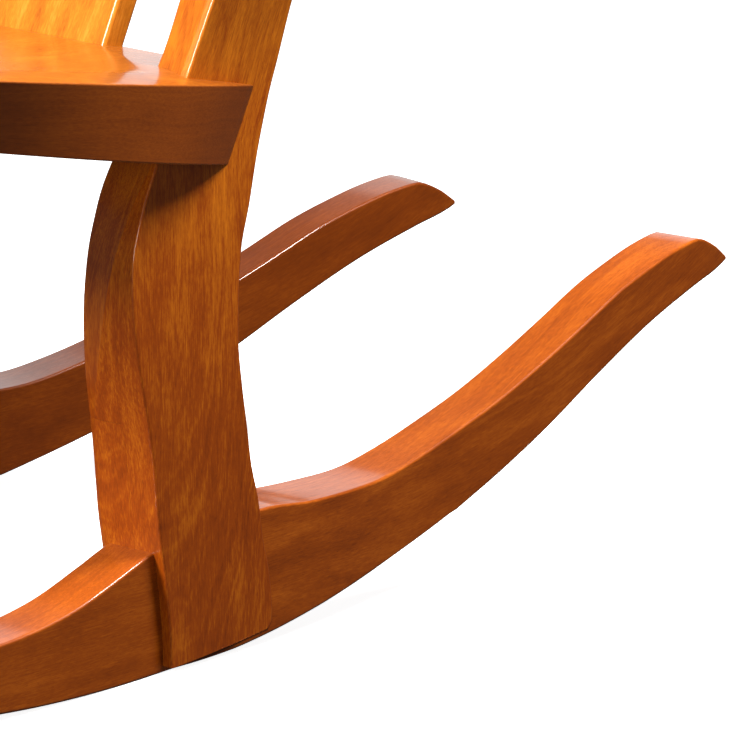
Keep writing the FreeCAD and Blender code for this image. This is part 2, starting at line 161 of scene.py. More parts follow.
# %% [markdown]
# ## From sections to a mesh
# Sections placed along a part are joined with quads, and the two ends are closed.  Each vertex also
# stores where it sits in the plank it was cut from: how far along the grain, across the board and
# into its depth.  The wood material reads that, so the grain runs the way the maker laid the plank.

# %% Skin a row of sections
SAME_POINT = 2e-6          # metres
CREASE = 35                # degrees


def new_piece(name, points, faces, grain):
    """A mesh object from points in mm; grain(point) gives (along, across, depth) in mm."""
    mesh = bpy.data.meshes.new(name)
    mesh.from_pydata([p * MM for p in points], [], faces)
    mesh.validate()
    bm = bmesh.new()
    bm.from_mesh(mesh)
    bmesh.ops.remove_doubles(bm, verts=bm.verts, dist=SAME_POINT)
    bmesh.ops.recalc_face_normals(bm, faces=bm.faces)
    bm.to_mesh(mesh)
    bm.free()
    piece = bpy.data.objects.new(name, mesh)
    bpy.context.scene.collection.objects.link(piece)
    store_grain(piece, grain)
    soften(piece)
    return piece


def store_grain(piece, grain):
    """Keep each point's place in its plank with the mesh, in metres."""
    mesh = piece.data
    if "grain" in mesh.attributes:
        mesh.attributes.remove(mesh.attributes["grain"])
    layer = mesh.attributes.new("grain", "FLOAT_VECTOR", "POINT")
    for i, vertex in enumerate(mesh.vertices):
        layer.data[i].vector = Vector(grain(vertex.co / MM)) * MM


def soften(piece, sharp=CREASE):
    """Smooth shading, with creases only where faces meet at more than `sharp` degrees."""
    piece.data.shade_smooth()
    piece.data.set_sharp_from_angle(angle=radians(sharp))


def skin(name, sections, grain):
    """Join equal sections with quads and close both ends."""
    size = len(sections[0])
    points = [p for section in sections for p in section]
    faces = []
    for s in range(len(sections) - 1):
        for i in range(size):
            j = (i + 1) % size
            a, b = s * size, (s + 1) * size
            faces.append((a + i, a + j, b + j, b + i))
    faces.append(tuple(range(size)))
    faces.append(tuple((len(sections) - 1) * size + i for i in range(size)))
    return new_piece(name, points, faces, grain)


# %% [markdown]
# ## Two frames
# The rockers toe in, so the parts that stand on them are laid out along the rocker: a outwards,
# b rearwards, z up.  Two small functions carry points between that frame and the chair's.

# %% Runner frame
def to_chair(a, b, z, side):
    x = RUNNER_X + a * cos(TOE) - b * sin(TOE)
    return Vector((x * side, a * sin(TOE) + b * cos(TOE), z))


def to_runner(p):
    x, y = abs(p.x) - RUNNER_X, p.y
    return x * cos(TOE) + y * sin(TOE), -x * sin(TOE) + y * cos(TOE), p.z


print("a = 20, b = 100 on the left is at", to_chair(20, 100, 0, 1))


# %% [markdown]
# ## Cutting one piece with another
# A joiner fits parts by sawing and paring.  Blender's exact boolean does the same to two closed
# meshes; the result is written back as plain mesh, and the grain is stored again on the new points.

# %% Carve
def carve(piece, tool, operation, grain):
    cut = piece.modifiers.new("fit", "BOOLEAN")
    cut.object = tool
    cut.operation = operation
    cut.solver = "EXACT"
    bpy.context.view_layer.update()
    depsgraph = bpy.context.evaluated_depsgraph_get()
    fitted = bpy.data.meshes.new_from_object(piece.evaluated_get(depsgraph))
    piece.modifiers.clear()
    piece.data = fitted
    store_grain(piece, grain)
    soften(piece)
    return piece


def block(name, low, high, place):
    """A plain cutting block, made for a carve and then thrown away."""
    corners = []
    for x in (low[0], high[0]):
        for y in (low[1], high[1]):
            corners += [place(x, y, z) for z in (low[2], high[2])]
    faces = ((0, 1, 3, 2), (4, 6, 7, 5), (0, 4, 5, 1), (2, 3, 7, 6), (0, 2, 6, 4), (1, 5, 7, 3))
    return new_piece(name, corners, faces, lambda p: p)


def copy_of(piece, name):
    twin = piece.copy()
    twin.data = piece.data.copy()
    twin.name = name
    bpy.context.scene.collection.objects.link(twin)
    return twin


def discard(piece):
    bpy.data.objects.remove(piece)


# %% [markdown]
# ## Rockers
# Each rocker is sawn from one thick plank.  Its underside is a true arc, so that the chair rolls
# evenly; towards the rear the tail sweeps up and is cut off short at a soft point.

# %% Rocker curves
ARC_END = 235.0            # the rolling arc ends here and the tail begins
BODY_END = 532.0           # last full section, front and rear
FRONT_LOW = 102.5          # underside of the first full section
HORN_END = -536.5
TAIL_END = 536.8
TAIL_EDGE = 1.2
PLANK_GAP = 300.0          # the right rocker comes from another part of the plank
tail_under = smooth([(ARC_END, 46.8), (284.5, 65.1), (337, 87.6), (392, 114.8), (448, 140.3),
                     (500, 159.0), (523, 165.8), (532, 169.0)])
rocker_top = smooth([(-532, 128.5), (-500, 121), (-460, 111), (-425, 106), (-398, 104.5),
                     (-345, 92), (-318, 77), (-285, 64), (-245, 55), (-215, 51.5), (-190, 50.6),
                     (-156, 53.1), (-122, 59.0), (-85, 70.5), (-56, 80), (-5, 90), (46, 91.2),
                     (65, 89.3), (84, 87.0), (123, 85.5), (163, 86.4), (204, 94.0), (244, 104.6),
                     (286, 117.1), (329, 133.1), (373, 151.4), (416, 170.0), (461, 184.4),
                     (484, 189.8), (505, 192.4), (513, 189.3), (523, 184.5), (532, 178.2)])
rocker_half = smooth([(-532, 17.5), (-480, 19.5), (-430, ROCKER_HALF), (-45, ROCKER_HALF),
                      (-20, 23.5), (10, FOOT_HALF - 0.8), (22, FOOT_HALF - 0.5), (45, FOOT_HALF - 0.5),
                      (60, 27.0), (110, 25.2), (170, 21.6), (230, 20.2), (300, 19.8), (470, 19.8),
                      (515, 19.8), (532, 18.8)])


def arc_z(b):
    return ROLL_RADIUS - sqrt(ROLL_RADIUS ** 2 - (b - ROLL_B) ** 2)


def rocker_under(b):
    return arc_z(b) if b <= ARC_END else tail_under(b)


def rocker_grain(p):
    """The plank was laid along the rocker, turned up a little with the tail."""
    a, b, z = to_runner(p)
    bend = max(b - 120, 0) ** 2 / 1500
    return b + 40, z - bend + 12, a + 30 + PLANK_GAP * (p.x < 0)


# %% Make the rockers
def rocker_section(b, half, low, high, radius, side):
    return [to_chair(u, b, v, side) for u, v in box_section(-half, half, low, high, radius)]


rockers = {}
for name, side in SIDES:
    rows = [rocker_section(HORN_END, 15, 106, 121, ROCKER_EDGE, side)]
    for b in stations(-BODY_END, BODY_END, 150):
        low = rocker_under(b) if b > -BODY_END else FRONT_LOW
        rows.append(rocker_section(b, rocker_half(b), low, rocker_top(b), ROCKER_EDGE, side))
    rows.append(rocker_section(TAIL_END, 18.2, 171.4, 174.4, TAIL_EDGE, side))
    rockers[name] = skin("rocker_cherry_" + name, rows, rocker_grain)
print("quads in a rocker:", len(rockers["left"].data.polygons))

# %% [markdown]
# ## Rear legs
# Foot, leg and back post are one long plank.  It grips the rocker with a cheek on each side, winds
# outwards above the seat, and carries a long hollow facet down its inner front corner.

# %% Leg curves
POST_TOP = 1062.0
leg_front = smooth([(0, -48.4), (25, -48.6), (60, -52), (100, -58), (133, -60.6), (160, -64.5),
                    (200, -72.2), (228, -76), (254, -77.2), (274, -75.5), (291, -70.7), (309, -64),
                    (330, -53.4), (357, -39.5), (384, -24), (430, -4.5), (520, 32), (640, 78),
                    (760, 122), (880, 165), (980, 201), (POST_TOP, 231)])
leg_rear = smooth([(0, 43), (11, 45.5), (25, 46.4), (53, 43.5), (70, 39), (99, 34.9), (122, 29.1),
                   (149, 25.3), (176, 21.4), (203, 18.6), (238, 19.5), (267, 22.9), (291, 30.1),
                   (325, 38.7), (356, 48.5), (385, 59.0), (430, 71.5), (520, 96), (640, 130),
                   (760, 167), (880, 205), (980, 239), (POST_TOP, 268)])
leg_outer = smooth([(0, FOOT_HALF), (340, FOOT_HALF), (370, 27.9), (400, 29.8), (430, 33.6), (520, 45),
                    (640, 58), (760, 70), (880, 80.5), (980, 88), (POST_TOP, 93)])
leg_inner = smooth([(0, -FOOT_HALF), (250, -FOOT_HALF), (290, -27), (322, -24.5), (350, -20),
                    (384, -14), (430, -9.5), (520, 4), (640, 20), (760, 33), (880, 44), (980, 52),
                    (POST_TOP, 57)])
facet_wide = smooth([(0, 5), (120, 5), (150, 6), (183, 13.5), (209, 22), (241, 31), (275, 39.5),
                     (309, 45), (330, 47), (350, 42), (384, 36), (430, 37), (520, 29), (640, 14),
                     (760, 10), (POST_TOP, 9)])
facet_deep = smooth([(0, 2), (120, 2), (150, 3), (180, 5), (219, 9.5), (238, 12), (260, 15),
                     (281, 16.5), (304, 16), (322, 16), (350, 17), (384, 18), (430, 17), (520, 13),
                     (640, 10), (760, 9), (POST_TOP, 8)])
leg_radius = smooth([(0, 1.6), (300, 1.6), (430, 1.8), (520, 4), (640, 8), (880, 9), (POST_TOP, 9)])


POST_FOOT = 330.0          # above this height the leg leans as the back post
POST_LEAN, POST_SPLAY = 0.36, 0.09
OTHER_PLANK = 700.0        # keeps the right leg's figure unlike the left's


def leg_grain(p):
    """Straight up the plank, which leans with the post above the seat."""
    a, b, z = to_runner(p)
    rise = max(z - POST_FOOT, 0)
    return z, b - POST_LEAN * rise + 8, a - POST_SPLAY * rise + OTHER_PLANK * (p.x < 0)


print("leg depth at the floor:", leg_rear(0) - leg_front(0))


# %% Make the legs and the blocks in their feet
def leg_section(z, side):
    inner, outer = leg_inner(z), leg_outer(z)
    front, rear = leg_front(z), leg_rear(z)
    corners = ((outer, front), (outer, rear), (inner, rear), (inner, front + facet_deep(z)),
               (inner + facet_wide(z), front))
    section = rounded_section(corners, leg_radius(z))
    return [to_chair(u, v, max(z, arc_z(v) + CHEEK_LIFT), side) for u, v in section]


def block_grain(p):
    """The foot block is an offcut of the leg's plank, glued on a little lower, so the leg's painted
    lightening stays off it.
    """
    return leg_grain(p - Vector((0.0, 0.0, 90.0)))


GLUE_LINE = 0.12           # mm left open at a glued face, so that the joint reads as a fine line
CUT_LOW = (-70, -220, -30) # lower corner of both cutting blocks, well outside the foot
CUT_REAR = 220
legs = {}
foot_blocks = {}
for name, side in SIDES:
    rows = [leg_section(z, side) for z in (0.0, *stations(16, POST_TOP, 150))]
    leg = skin("rear_leg_cherry_" + name, rows, leg_grain)
    foot = copy_of(leg, "foot_block_cherry_" + name)

    def in_runner(a, b, z, side=side):
        return to_chair(a, b, z, side)

    kept_corner = (BLOCK_FACE - GLUE_LINE, CUT_REAR, BLOCK_TOP - GLUE_LINE)
    waste = block("waste", CUT_LOW, (BLOCK_FACE, CUT_REAR, BLOCK_TOP), in_runner)
    kept = block("kept", CUT_LOW, kept_corner, in_runner)
    legs[name] = carve(leg, waste, "DIFFERENCE", leg_grain)
    foot_blocks[name] = carve(foot, kept, "INTERSECT", block_grain)
    discard(waste)
    discard(kept)
print("faces in a leg:", len(legs["left"].data.polygons))

# %% [markdown]
# ## The seat
# Five boards are glued edge to edge and hollowed with a travisher, leaving a flat rim.  The mesh
# follows the seat's outline, and its rows and columns are pushed to the crisp line where the
# hollow meets the rim, so that the crease falls on mesh edges.

# %% Seat surfaces
Corner = namedtuple("Corner", "x y z")
TOP_CORNER = Corner(231.7, 38.3, 367.2)       # the seat's rear corner, above and below
UNDER_CORNER = Corner(235.0, 13.0, 319.7)
REAR_Y, UNDER_REAR_Y = 70.0, 62.0
STRAIGHT = 197.0           # half the straight middle of the rear edge
FRONT_Y, UNDER_FRONT_Y = -415.0, -392.0
CROWN, CROWN_WIDTH = 5.5, 50.0
RIM, SCOOP_DEPTH = 28.0, 15.0
SIDE_FALL, REAR_FALL = 150.0, 170.0   # the hollow reaches its depth over these widths
BLEND = 0.12               # how gently its side and rear slopes meet
THIGH_Y = -424.0           # the hollow is shallower here, with a low ridge in the middle
edge_x = smooth([(-436, 262), (-415, 286), (-392, 297), (-350, 303), (-300, 303), (-250, 300.5),
                 (-213, 297), (-169, 289.5), (-123, 281), (-76, 270.5), (-37, 259), (-3, 248),
                 (TOP_CORNER.y, TOP_CORNER.x), (REAR_Y, 219)])
under_x = smooth([(-392, 268), (-350, 279), (-275, 281), (-196, 278), (-151, 276.5), (-108, 272),
                  (-66, 264), (-32, 254), (-9, 245), (UNDER_CORNER.y, UNDER_CORNER.x)])
front_y = smooth([(0, -436), (120, -435), (240, -431), (286, -415)])
under_front_y = smooth([(0, -410), (118, -409), (228, -406), (268, -392)])
rear_limit = smooth([(0, 49), (63, 43), (98, 24.5), (153, -3.5), (190, -21), (225, -38), (300, -78)])


def top_plane(y):
    return TOP_CORNER.z + tan(SEAT_SLOPE) * (TOP_CORNER.y - y)


def under_plane(y):
    return UNDER_CORNER.z + tan(UNDER_SLOPE) * (UNDER_CORNER.y - y)


def ramp(distance, length):
    """Rises from 0 to 1 over the length and flattens out; goes on below 0 as a straight line."""
    if distance <= 0:
        return 2 * distance / length
    t = min(distance / length, 1.0)
    return 1 - (1 - t) ** 2


def crown(x, y):
    """The top falls away a little towards the seat's sides."""
    return CROWN * ramp(edge_x(y) - abs(x), CROWN_WIDTH)


def scoop(x, y):
    """Depth of the hollow below the rim; negative outside the hollow."""
    side_way = ramp(edge_x(y) - RIM - abs(x), SIDE_FALL)
    rear_way = ramp(rear_limit(abs(x)) - y, REAR_FALL)
    apart = sqrt((side_way - rear_way) ** 2 + BLEND ** 2)
    least = 0.5 * (side_way + rear_way - apart) + BLEND / 4
    thigh = 1.0 - 0.45 * exp(-((y - THIGH_Y) / 95.0) ** 2)
    ridge = 6.0 * exp(-(x / 62.0) ** 2) * exp(-((y - THIGH_Y) / 120.0) ** 2)
    depth = SCOOP_DEPTH * least * thigh
    return depth - ridge if least > 0 else depth


print("seat thickness at the rear corner:", round(TOP_CORNER.z - under_plane(TOP_CORNER.y), 1))


# %% Coordinates that follow the outline
def rear_y(across, corner, middle):
    """The rear edge is straight in the middle and runs forwards to each corner."""
    x = corner.x * abs(across)
    return middle - max(x - STRAIGHT, 0) * (middle - corner.y) / (corner.x - STRAIGHT)


def top_place(across, along):
    """across is -1 to 1 from side to side, along is 0 to 1 from front to rear."""
    x = across * edge_x(FRONT_Y + (TOP_CORNER.y - FRONT_Y) * along)
    front = front_y(edge_x(FRONT_Y) * abs(across))
    return x, front + (rear_y(across, TOP_CORNER, REAR_Y) - front) * along


def under_place(across, along):
    x = across * under_x(UNDER_FRONT_Y + (UNDER_CORNER.y - UNDER_FRONT_Y) * along)
    front = under_front_y(under_x(UNDER_FRONT_Y) * abs(across))
    return x, front + (rear_y(across, UNDER_CORNER, UNDER_REAR_Y) - front) * along


HALVINGS = 22
RIM_COLUMN, RIM_ROW = 0.90, 0.86      # the column and row that are pushed to the hollow's edge


def crossing(depth_at, low, high):
    """Where the hollow's edge lies between two places, by halving the gap."""
    for _ in range(HALVINGS):
        middle = 0.5 * (low + high)
        if depth_at(middle) > 0:
            low = middle
        else:
            high = middle
    return low


def side_crossing(along):
    return crossing(lambda across: scoop(*top_place(across, along)), 0.5, 1.0)


def rear_crossing(across):
    return crossing(lambda along: scoop(*top_place(across, along)), 0.6, 1.0)


# Each line stops where the hollow's corner begins to turn, and runs straight on from there.
side_crease = smooth([(along, side_crossing(along)) for along in stations(0.0, 0.75, 12)])
rear_crease = smooth([(across, rear_crossing(across)) for across in stations(0.0, 0.875, 12)])


def pushed(fraction, wanted, crease):
    """Stretch 0..1 so that `wanted` lands on `crease`."""
    if fraction <= wanted:
        return fraction * crease / wanted
    return crease + (fraction - wanted) * (1 - crease) / (1 - wanted)


SETTLING = 6               # rounds until both coordinates agree


def seat_grid_place(column, row):
    """Find the outline coordinates whose row and column fall on the creases."""
    sign = -1 if column < 0 else 1
    across, along = abs(column), row
    for _ in range(SETTLING):
        next_across = pushed(abs(column), RIM_COLUMN, side_crease(along))
        along = pushed(row, RIM_ROW, rear_crease(across))
        across = next_across
    return sign * across, along


hollow_corner = top_place(*seat_grid_place(RIM_COLUMN, RIM_ROW))
print("the hollow's rear corner is at", [round(v, 1) for v in hollow_corner])


# %% Make the whole seat
COLUMNS, ROWS = 121, 111


def seat_shell():
    """Points and faces of the seat: a top and an underside of equal grids, joined round the edge."""
    columns, rows = stations(-1, 1, COLUMNS), stations(0, 1, ROWS)
    top, under = [], []
    for row in rows:
        for column in columns:
            across, along = seat_grid_place(column, row)
            x, y = top_place(across, along)
            top.append(Vector((x, y, top_plane(y) + crown(x, y) - max(scoop(x, y), 0.0))))
            x, y = under_place(across, along)
            under.append(Vector((x, y, under_plane(y))))
    count = len(top)
    faces = []
    for r in range(ROWS - 1):
        for c in range(COLUMNS - 1):
            i = r * COLUMNS + c
            quad = (i, i + 1, i + COLUMNS + 1, i + COLUMNS)
            faces.append(quad)
            faces.append(tuple(count + k for k in reversed(quad)))
    edge = list(range(COLUMNS))
    edge += [r * COLUMNS + COLUMNS - 1 for r in range(1, ROWS)]
    edge += [(ROWS - 1) * COLUMNS + c for c in range(COLUMNS - 2, -1, -1)]
    edge += [r * COLUMNS for r in range(ROWS - 2, 0, -1)]
    for i, j in zip(edge, edge[1:] + edge[:1]):
        faces.append((i, j, count + j, count + i))
    return top + under, faces


BOARD_WIDTH = 120.0


def seat_grain(p):
    """Each board comes from another part of the plank, and follows the seat's slope."""
    board = round(p.x / BOARD_WIDTH)
    in_board = p.x - BOARD_WIDTH * board
    return p.y + 210 * board, in_board + 31 * board, p.z + 0.16 * p.y + 90 * (board % 3)


points, faces = seat_shell()
seat = new_piece("seat_whole", points, faces, seat_grain)
round_over = seat.modifiers.new("rounded edge", "BEVEL")
round_over.width = 3.0 * MM
round_over.segments = 4
round_over.limit_method = "ANGLE"
round_over.angle_limit = radians(50)
bpy.context.view_layer.update()
seat.data = bpy.data.meshes.new_from_object(seat.evaluated_get(bpy.context.evaluated_depsgraph_get()))
seat.modifiers.clear()
print("faces in the whole seat:", len(seat.data.polygons))

# %% Split it into boards
BOARD_WALLS = (-400.0, -180.0, -60.0, 60.0, 180.0, 400.0)
BOARD_CREASE = 30          # degrees, so that the edge of the hollow stays soft
boards = []
for i in range(5):
    board = copy_of(seat, "seat_board_cherry_%d" % (i + 1))
    bm = bmesh.new()
    bm.from_mesh(board.data)
    for wall, outwards in ((BOARD_WALLS[i], -1), (BOARD_WALLS[i + 1], 1)):
        everything = bm.verts[:] + bm.edges[:] + bm.faces[:]
        cut = bmesh.ops.bisect_plane(bm, geom=everything, dist=1e-7, clear_outer=True,
                                     plane_co=(wall * MM, 0, 0), plane_no=(outwards, 0, 0))
        rim = [e for e in cut["geom_cut"] if isinstance(e, bmesh.types.BMEdge)]
        if rim:
            bmesh.ops.contextual_create(bm, geom=rim)
    bmesh.ops.recalc_face_normals(bm, faces=bm.faces)
    bm.to_mesh(board.data)
    bm.free()
    store_grain(board, seat_grain)
    soften(board, BOARD_CREASE)
    boards.append(board)
discard(seat)
print("boards:", [len(board.data.polygons) for board in boards])

# %% [markdown]
# ## Splat and crest rail
# The splat is one wide board, thinner than the posts, leaning back with a slight bend.  It stands
# in the seat and ends in the crest rail, the curved head piece that ties the two posts.

# %% Make the splat
SPLAT_HALF, SPLAT_THICK, SPLAT_EDGE = 63.0, 18.5, 3.0
splat_y = smooth([(330, 44), (366, 59), (410, 78.5), (450, 96), (550, 135), (700, 187), (850, 235),
                  (950, 264), (1070, 298)])
splat_half = smooth([(330, SPLAT_HALF), (600, SPLAT_HALF), (800, 66), (950, 71), (1070, 76)])


def splat_grain(p):
    """Up the board, which leans back 0.4 mm for each mm of height."""
    return p.z + 400, p.x + 18, p.y - 0.4 * p.z + 900


rows = []
for z in stations(340, 1064, 90):
    front = splat_y(z) - SPLAT_THICK / 2
    section = box_section(-splat_half(z), splat_half(z), front, front + SPLAT_THICK, SPLAT_EDGE)
    rows.append([Vector((u, v, z)) for u, v in section])
splat = skin("back_splat_cherry", rows, splat_grain)

# %% Make the crest rail
CREST_LEAN = radians(17.0)
CREST_EDGE = 10.0
crest_y = smooth([(0, 304), (150, 289), (255, 266), (300, 256)])
crest_z = smooth([(0, 1087), (150, 1080), (255, 1071), (300, 1066)])
crest_high = smooth([(0, 42), (150, 37), (255, 32), (285, 26), (300, 20)])
crest_thick = smooth([(0, 13), (150, 14.5), (255, 17.5), (285, 16), (300, 12)])


def crest_grain(p):
    return p.x + 500, p.z - 1080, p.y - 280


rows = []
for x in stations(-300, 300, 91):
    s = abs(x)
    section = box_section(-crest_thick(s), crest_thick(s), -crest_high(s), crest_high(s), CREST_EDGE)
    row = []
    for u, v in section:
        y = crest_y(s) + u * cos(CREST_LEAN) + v * sin(CREST_LEAN)
        z = crest_z(s) - u * sin(CREST_LEAN) + v * cos(CREST_LEAN)
        row.append(Vector((x, y, z)))
    rows.append(row)
crest = skin("crest_rail_cherry", rows, crest_grain)
print("splat and crest faces:", len(splat.data.polygons), len(crest.data.polygons))

# %% [markdown]
# ## Front legs and arms
# The front legs are sculpted between the rocker and the arm, square where the seat is screwed to
# them and nearly round between.  Each arm is a paddle that narrows to meet the back post.

# %% Make the front legs
FRONT_LEG_Y = -369.0
front_x = smooth([(60, 253), (110, 258), (200, 271), (300, 286), (380, 295), (440, 300), (540, 304),
                  (700, 308)])
front_half_x = smooth([(60, 22), (110, 20.5), (170, 18.5), (260, 18), (340, 20), (385, 22.5),
                       (440, 22.5), (480, 19.5), (560, 17), (620, 20), (700, 25)])
front_half_y = smooth([(60, 30), (110, 27), (170, 22.5), (260, 20.5), (340, 23), (385, 26),
                       (440, 26), (480, 22.5), (560, 19), (620, 22.5), (700, 28)])
front_radius = smooth([(60, 5), (110, 7), (170, 13), (260, 16), (340, 15), (385, 6), (440, 6),
                       (480, 14), (560, 16), (700, 18)])


def front_leg_grain(p):
    return p.z + 250, p.y + 380, abs(p.x) - 280 + 500 * (p.x < 0)


front_legs = {}
for name, side in SIDES:
    rows = []
    for z in stations(84, 652, 80):
        x, wide, deep = front_x(z), front_half_x(z), front_half_y(z)
        section = box_section(x - wide, x + wide, FRONT_LEG_Y - deep, FRONT_LEG_Y + deep, front_radius(z))
        rows.append([Vector((side * u, v, z)) for u, v in section])
    front_legs[name] = skin("front_leg_cherry_" + name, rows, front_leg_grain)

# %% Make the arms
ARM_TOP = 668.0
ARM_EDGE = 9.0
arm_x = smooth([(-452, 312), (-350, 310), (-200, 306), (-100, 299), (0, 289), (60, 281), (128, 271)])
arm_half = smooth([(-452, 20), (-446, 31), (-430, 40), (-400, 46), (-350, 47), (-280, 41), (-200, 33),
                   (-100, 26), (0, 24), (60, 24), (110, 24), (128, 20)])
arm_top = smooth([(-452, 672), (-430, 676), (-350, ARM_TOP + 6), (-200, ARM_TOP), (-60, ARM_TOP - 6),
                  (60, ARM_TOP), (128, ARM_TOP + 6)])
arm_thick = smooth([(-452, 14), (-446, 20), (-430, 25), (-350, 32), (-200, 28), (0, 30), (60, 38),
                    (128, 40)])


def arm_grain(p):
    return p.y + 120, abs(p.x) - 290 + 600 * (p.x < 0), p.z - 660


arms = {}
for name, side in SIDES:
    rows = []
    for y in stations(-452, 128, 110):
        x, wide, top = arm_x(y), arm_half(y), arm_top(y)
        section = box_section(x - wide, x + wide, top - arm_thick(y), top, ARM_EDGE)
        rows.append([Vector((side * u, y, v)) for u, v in section])
    arms[name] = skin("arm_cherry_" + name, rows, arm_grain)
print("front leg and arm faces:", len(front_legs["left"].data.polygons), len(arms["left"].data.polygons))


# %% [markdown]
# ## Colours
# Colours are given as sRGB hex values, as on a paint card, and one function turns them to the
# linear values that the shader mixes.

# %% Hex to linear
def colour(hex_value):
    parts = [int(hex_value[i:i + 2], 16) / 255 for i in (1, 3, 5)]
    return tuple(c / 12.92 if c <= 0.04045 else ((c + 0.055) / 1.055) ** 2.4 for c in parts) + (1.0,)


print("cherry in linear light:", [round(c, 3) for c in colour("#b5600f")])


# %% [markdown]
# ## One helper for nodes
# A node is described by its kind, its settings, the constants on its sockets and its links.

# %% Add a node
def add_node(tree, kind, settings=None, sockets=None, links=None):
    node = tree.nodes.new(kind)
    for key, value in (settings or {}).items():
        setattr(node, key, value)
    for key, value in (sockets or {}).items():
        node.inputs[key].default_value = value
    for key, source in (links or {}).items():
        tree.links.new(source, node.inputs[key])
    return node


def new_material(name):
    material = bpy.data.materials.new(name)
    material.use_nodes = True
    material.node_tree.nodes.clear()
    return material, material.node_tree


# %% [markdown]
# ## Cherry under varnish
# Cherry heartwood is a fine, even wood: faint growth rings a few millimetres apart, short silky
# fibres, tiny dark gum flecks, and broad soft patches where the fibres lean and catch the light.
# The varnish is a clear coat: a sharp reflection over a softer one from the wood itself.

# %% Cherry material
RING_MM = 3.2              # one year's growth
FIBRE_MM = (16.0, 0.7)     # length and width of a fibre bundle, drawn coarse enough to show
SILK_MM = (5.0, 1.6)       # short flames where the fibres lean
PATCH_MM = (60.0, 18.0)    # broad soft patches
FLECK_MM = (5.0, 0.6)      # gum flecks, drawn wider than the real tenth of a millimetre
PAINTED_LIGHT_LIFT = 0.18             # how much lighter the tone grows along the plank: painted light, brighter up the back posts


def per_mm(along, across):
    """Texture scale, per metre, for a feature of this length and width in millimetres."""
    return (1 / (along * MM), 1 / (across * MM), 1 / (across * MM))


def varnished_cherry(name, light, body, dark, figure=1.0, pith=(0.0, -60.0, 45.0), taper=0.1,
                     painted_light_span=(2.0, 3.0)):
    """Cherry from three tones of one plank.

    pith is where the tree's centre ran, in the plank's own mm, and taper how fast the rings
    close along it; the last argument spans where painted light lightens the tone, in metres along the plank.
    """
    material, tree = new_material(name)
    place = add_node(tree, "ShaderNodeAttribute", {"attribute_name": "grain"}).outputs["Vector"]

    def noise(along, across, detail, roughness=0.5):
        stretched = add_node(tree, "ShaderNodeVectorMath", {"operation": "MULTIPLY"},
                             {1: per_mm(along, across)}, {0: place}).outputs[0]
        return add_node(tree, "ShaderNodeTexNoise", {},
                        {"Scale": 1.0, "Detail": detail, "Roughness": roughness},
                        {"Vector": stretched}).outputs["Fac"]

    def scaled(value, factor, offset=0.0):
        return add_node(tree, "ShaderNodeMath", {"operation": "MULTIPLY_ADD"}, {1: factor, 2: offset},
                        {0: value}).outputs[0]

    def total(first, second):
        return add_node(tree, "ShaderNodeMath", {"operation": "ADD"}, {}, {0: first, 1: second}).outputs[0]

    # Growth rings: distance from the pith, disturbed by slow waves along the plank.
    offset = (pith[0] * taper * MM, pith[1] * MM, pith[2] * MM)
    from_pith = add_node(tree, "ShaderNodeVectorMath", {"operation": "MULTIPLY_ADD"},
                         {1: (taper, 1.0, 1.0), 2: offset}, {0: place}).outputs[0]
    distance = add_node(tree, "ShaderNodeVectorMath", {"operation": "LENGTH"}, {},
                        {0: from_pith}).outputs["Value"]
    sway = noise(90.0, 30.0, 2.0)
    ring_place = total(scaled(distance, 1 / (RING_MM * MM)), scaled(sway, 3.5))
    rings = add_node(tree, "ShaderNodeTexNoise", {"noise_dimensions": "1D"},
                     {"Scale": 1.0, "Detail": 2.0, "Roughness": 0.6}, {"W": ring_place}).outputs["Fac"]
    fibres = noise(*FIBRE_MM, 4.0, 0.65)
    silk = noise(*SILK_MM, 3.0, 0.6)
    patches = noise(*PATCH_MM, 3.0, 0.5)
    along = add_node(tree, "ShaderNodeSeparateXYZ", {}, {}, {0: place}).outputs["X"]
    # Painted light: the tone grows lighter along the plank, so the legs read brighter up the back posts, as
    # if lit more strongly there.
    painted_light = add_node(tree, "ShaderNodeMapRange", {"interpolation_type": "SMOOTHSTEP"},
                       {"From Min": painted_light_span[0], "From Max": painted_light_span[1], "To Min": 0.0, "To Max": PAINTED_LIGHT_LIFT},
                       {"Value": along}).outputs["Result"]

    warm = total(scaled(patches, 0.42 * figure), scaled(rings, 0.22))
    fine = total(scaled(fibres, 0.5), scaled(silk, 0.3 * figure, 0.14 - 0.36 * figure))
    tone = total(total(warm, fine), painted_light)
    shade = add_node(tree, "ShaderNodeValToRGB", {}, {}, {"Fac": tone})
    stops = shade.color_ramp.elements
    stops[0].position, stops[0].color = 0.22, colour(dark)
    stops[1].position, stops[1].color = 0.78, colour(light)
    stops.new(0.5).color = colour(body)

    # Gum flecks: short dark dashes along the grain.
    fleck = add_node(tree, "ShaderNodeMapRange", {"interpolation_type": "SMOOTHSTEP"},
                     {"From Min": 0.64, "From Max": 0.74, "To Min": 0.0, "To Max": 0.4},
                     {"Value": noise(*FLECK_MM, 2.0)}).outputs["Result"]
    tinted = add_node(tree, "ShaderNodeMix", {"data_type": "RGBA"}, {7: colour("#4a1c04")},
                      {0: fleck, 6: shade.outputs["Color"]}).outputs[2]
    rough = add_node(tree, "ShaderNodeMapRange", {},
                     {"From Min": 0.3, "From Max": 0.7, "To Min": 0.5, "To Max": 0.4},
                     {"Value": fibres}).outputs["Result"]
    relief = add_node(tree, "ShaderNodeBump", {}, {"Strength": 0.3, "Distance": 0.06 * MM},
                      {"Height": fibres})
    shader = add_node(tree, "ShaderNodeBsdfPrincipled", {},
                      {"IOR": 1.45, "Specular IOR Level": 0.25, "Coat Weight": 0.75, "Coat Roughness": 0.12,
                       "Coat IOR": 1.45},
                      {"Base Color": tinted, "Roughness": rough, "Normal": relief.outputs["Normal"]})
    add_node(tree, "ShaderNodeOutputMaterial", {}, {}, {"Surface": shader.outputs["BSDF"]})
    return material
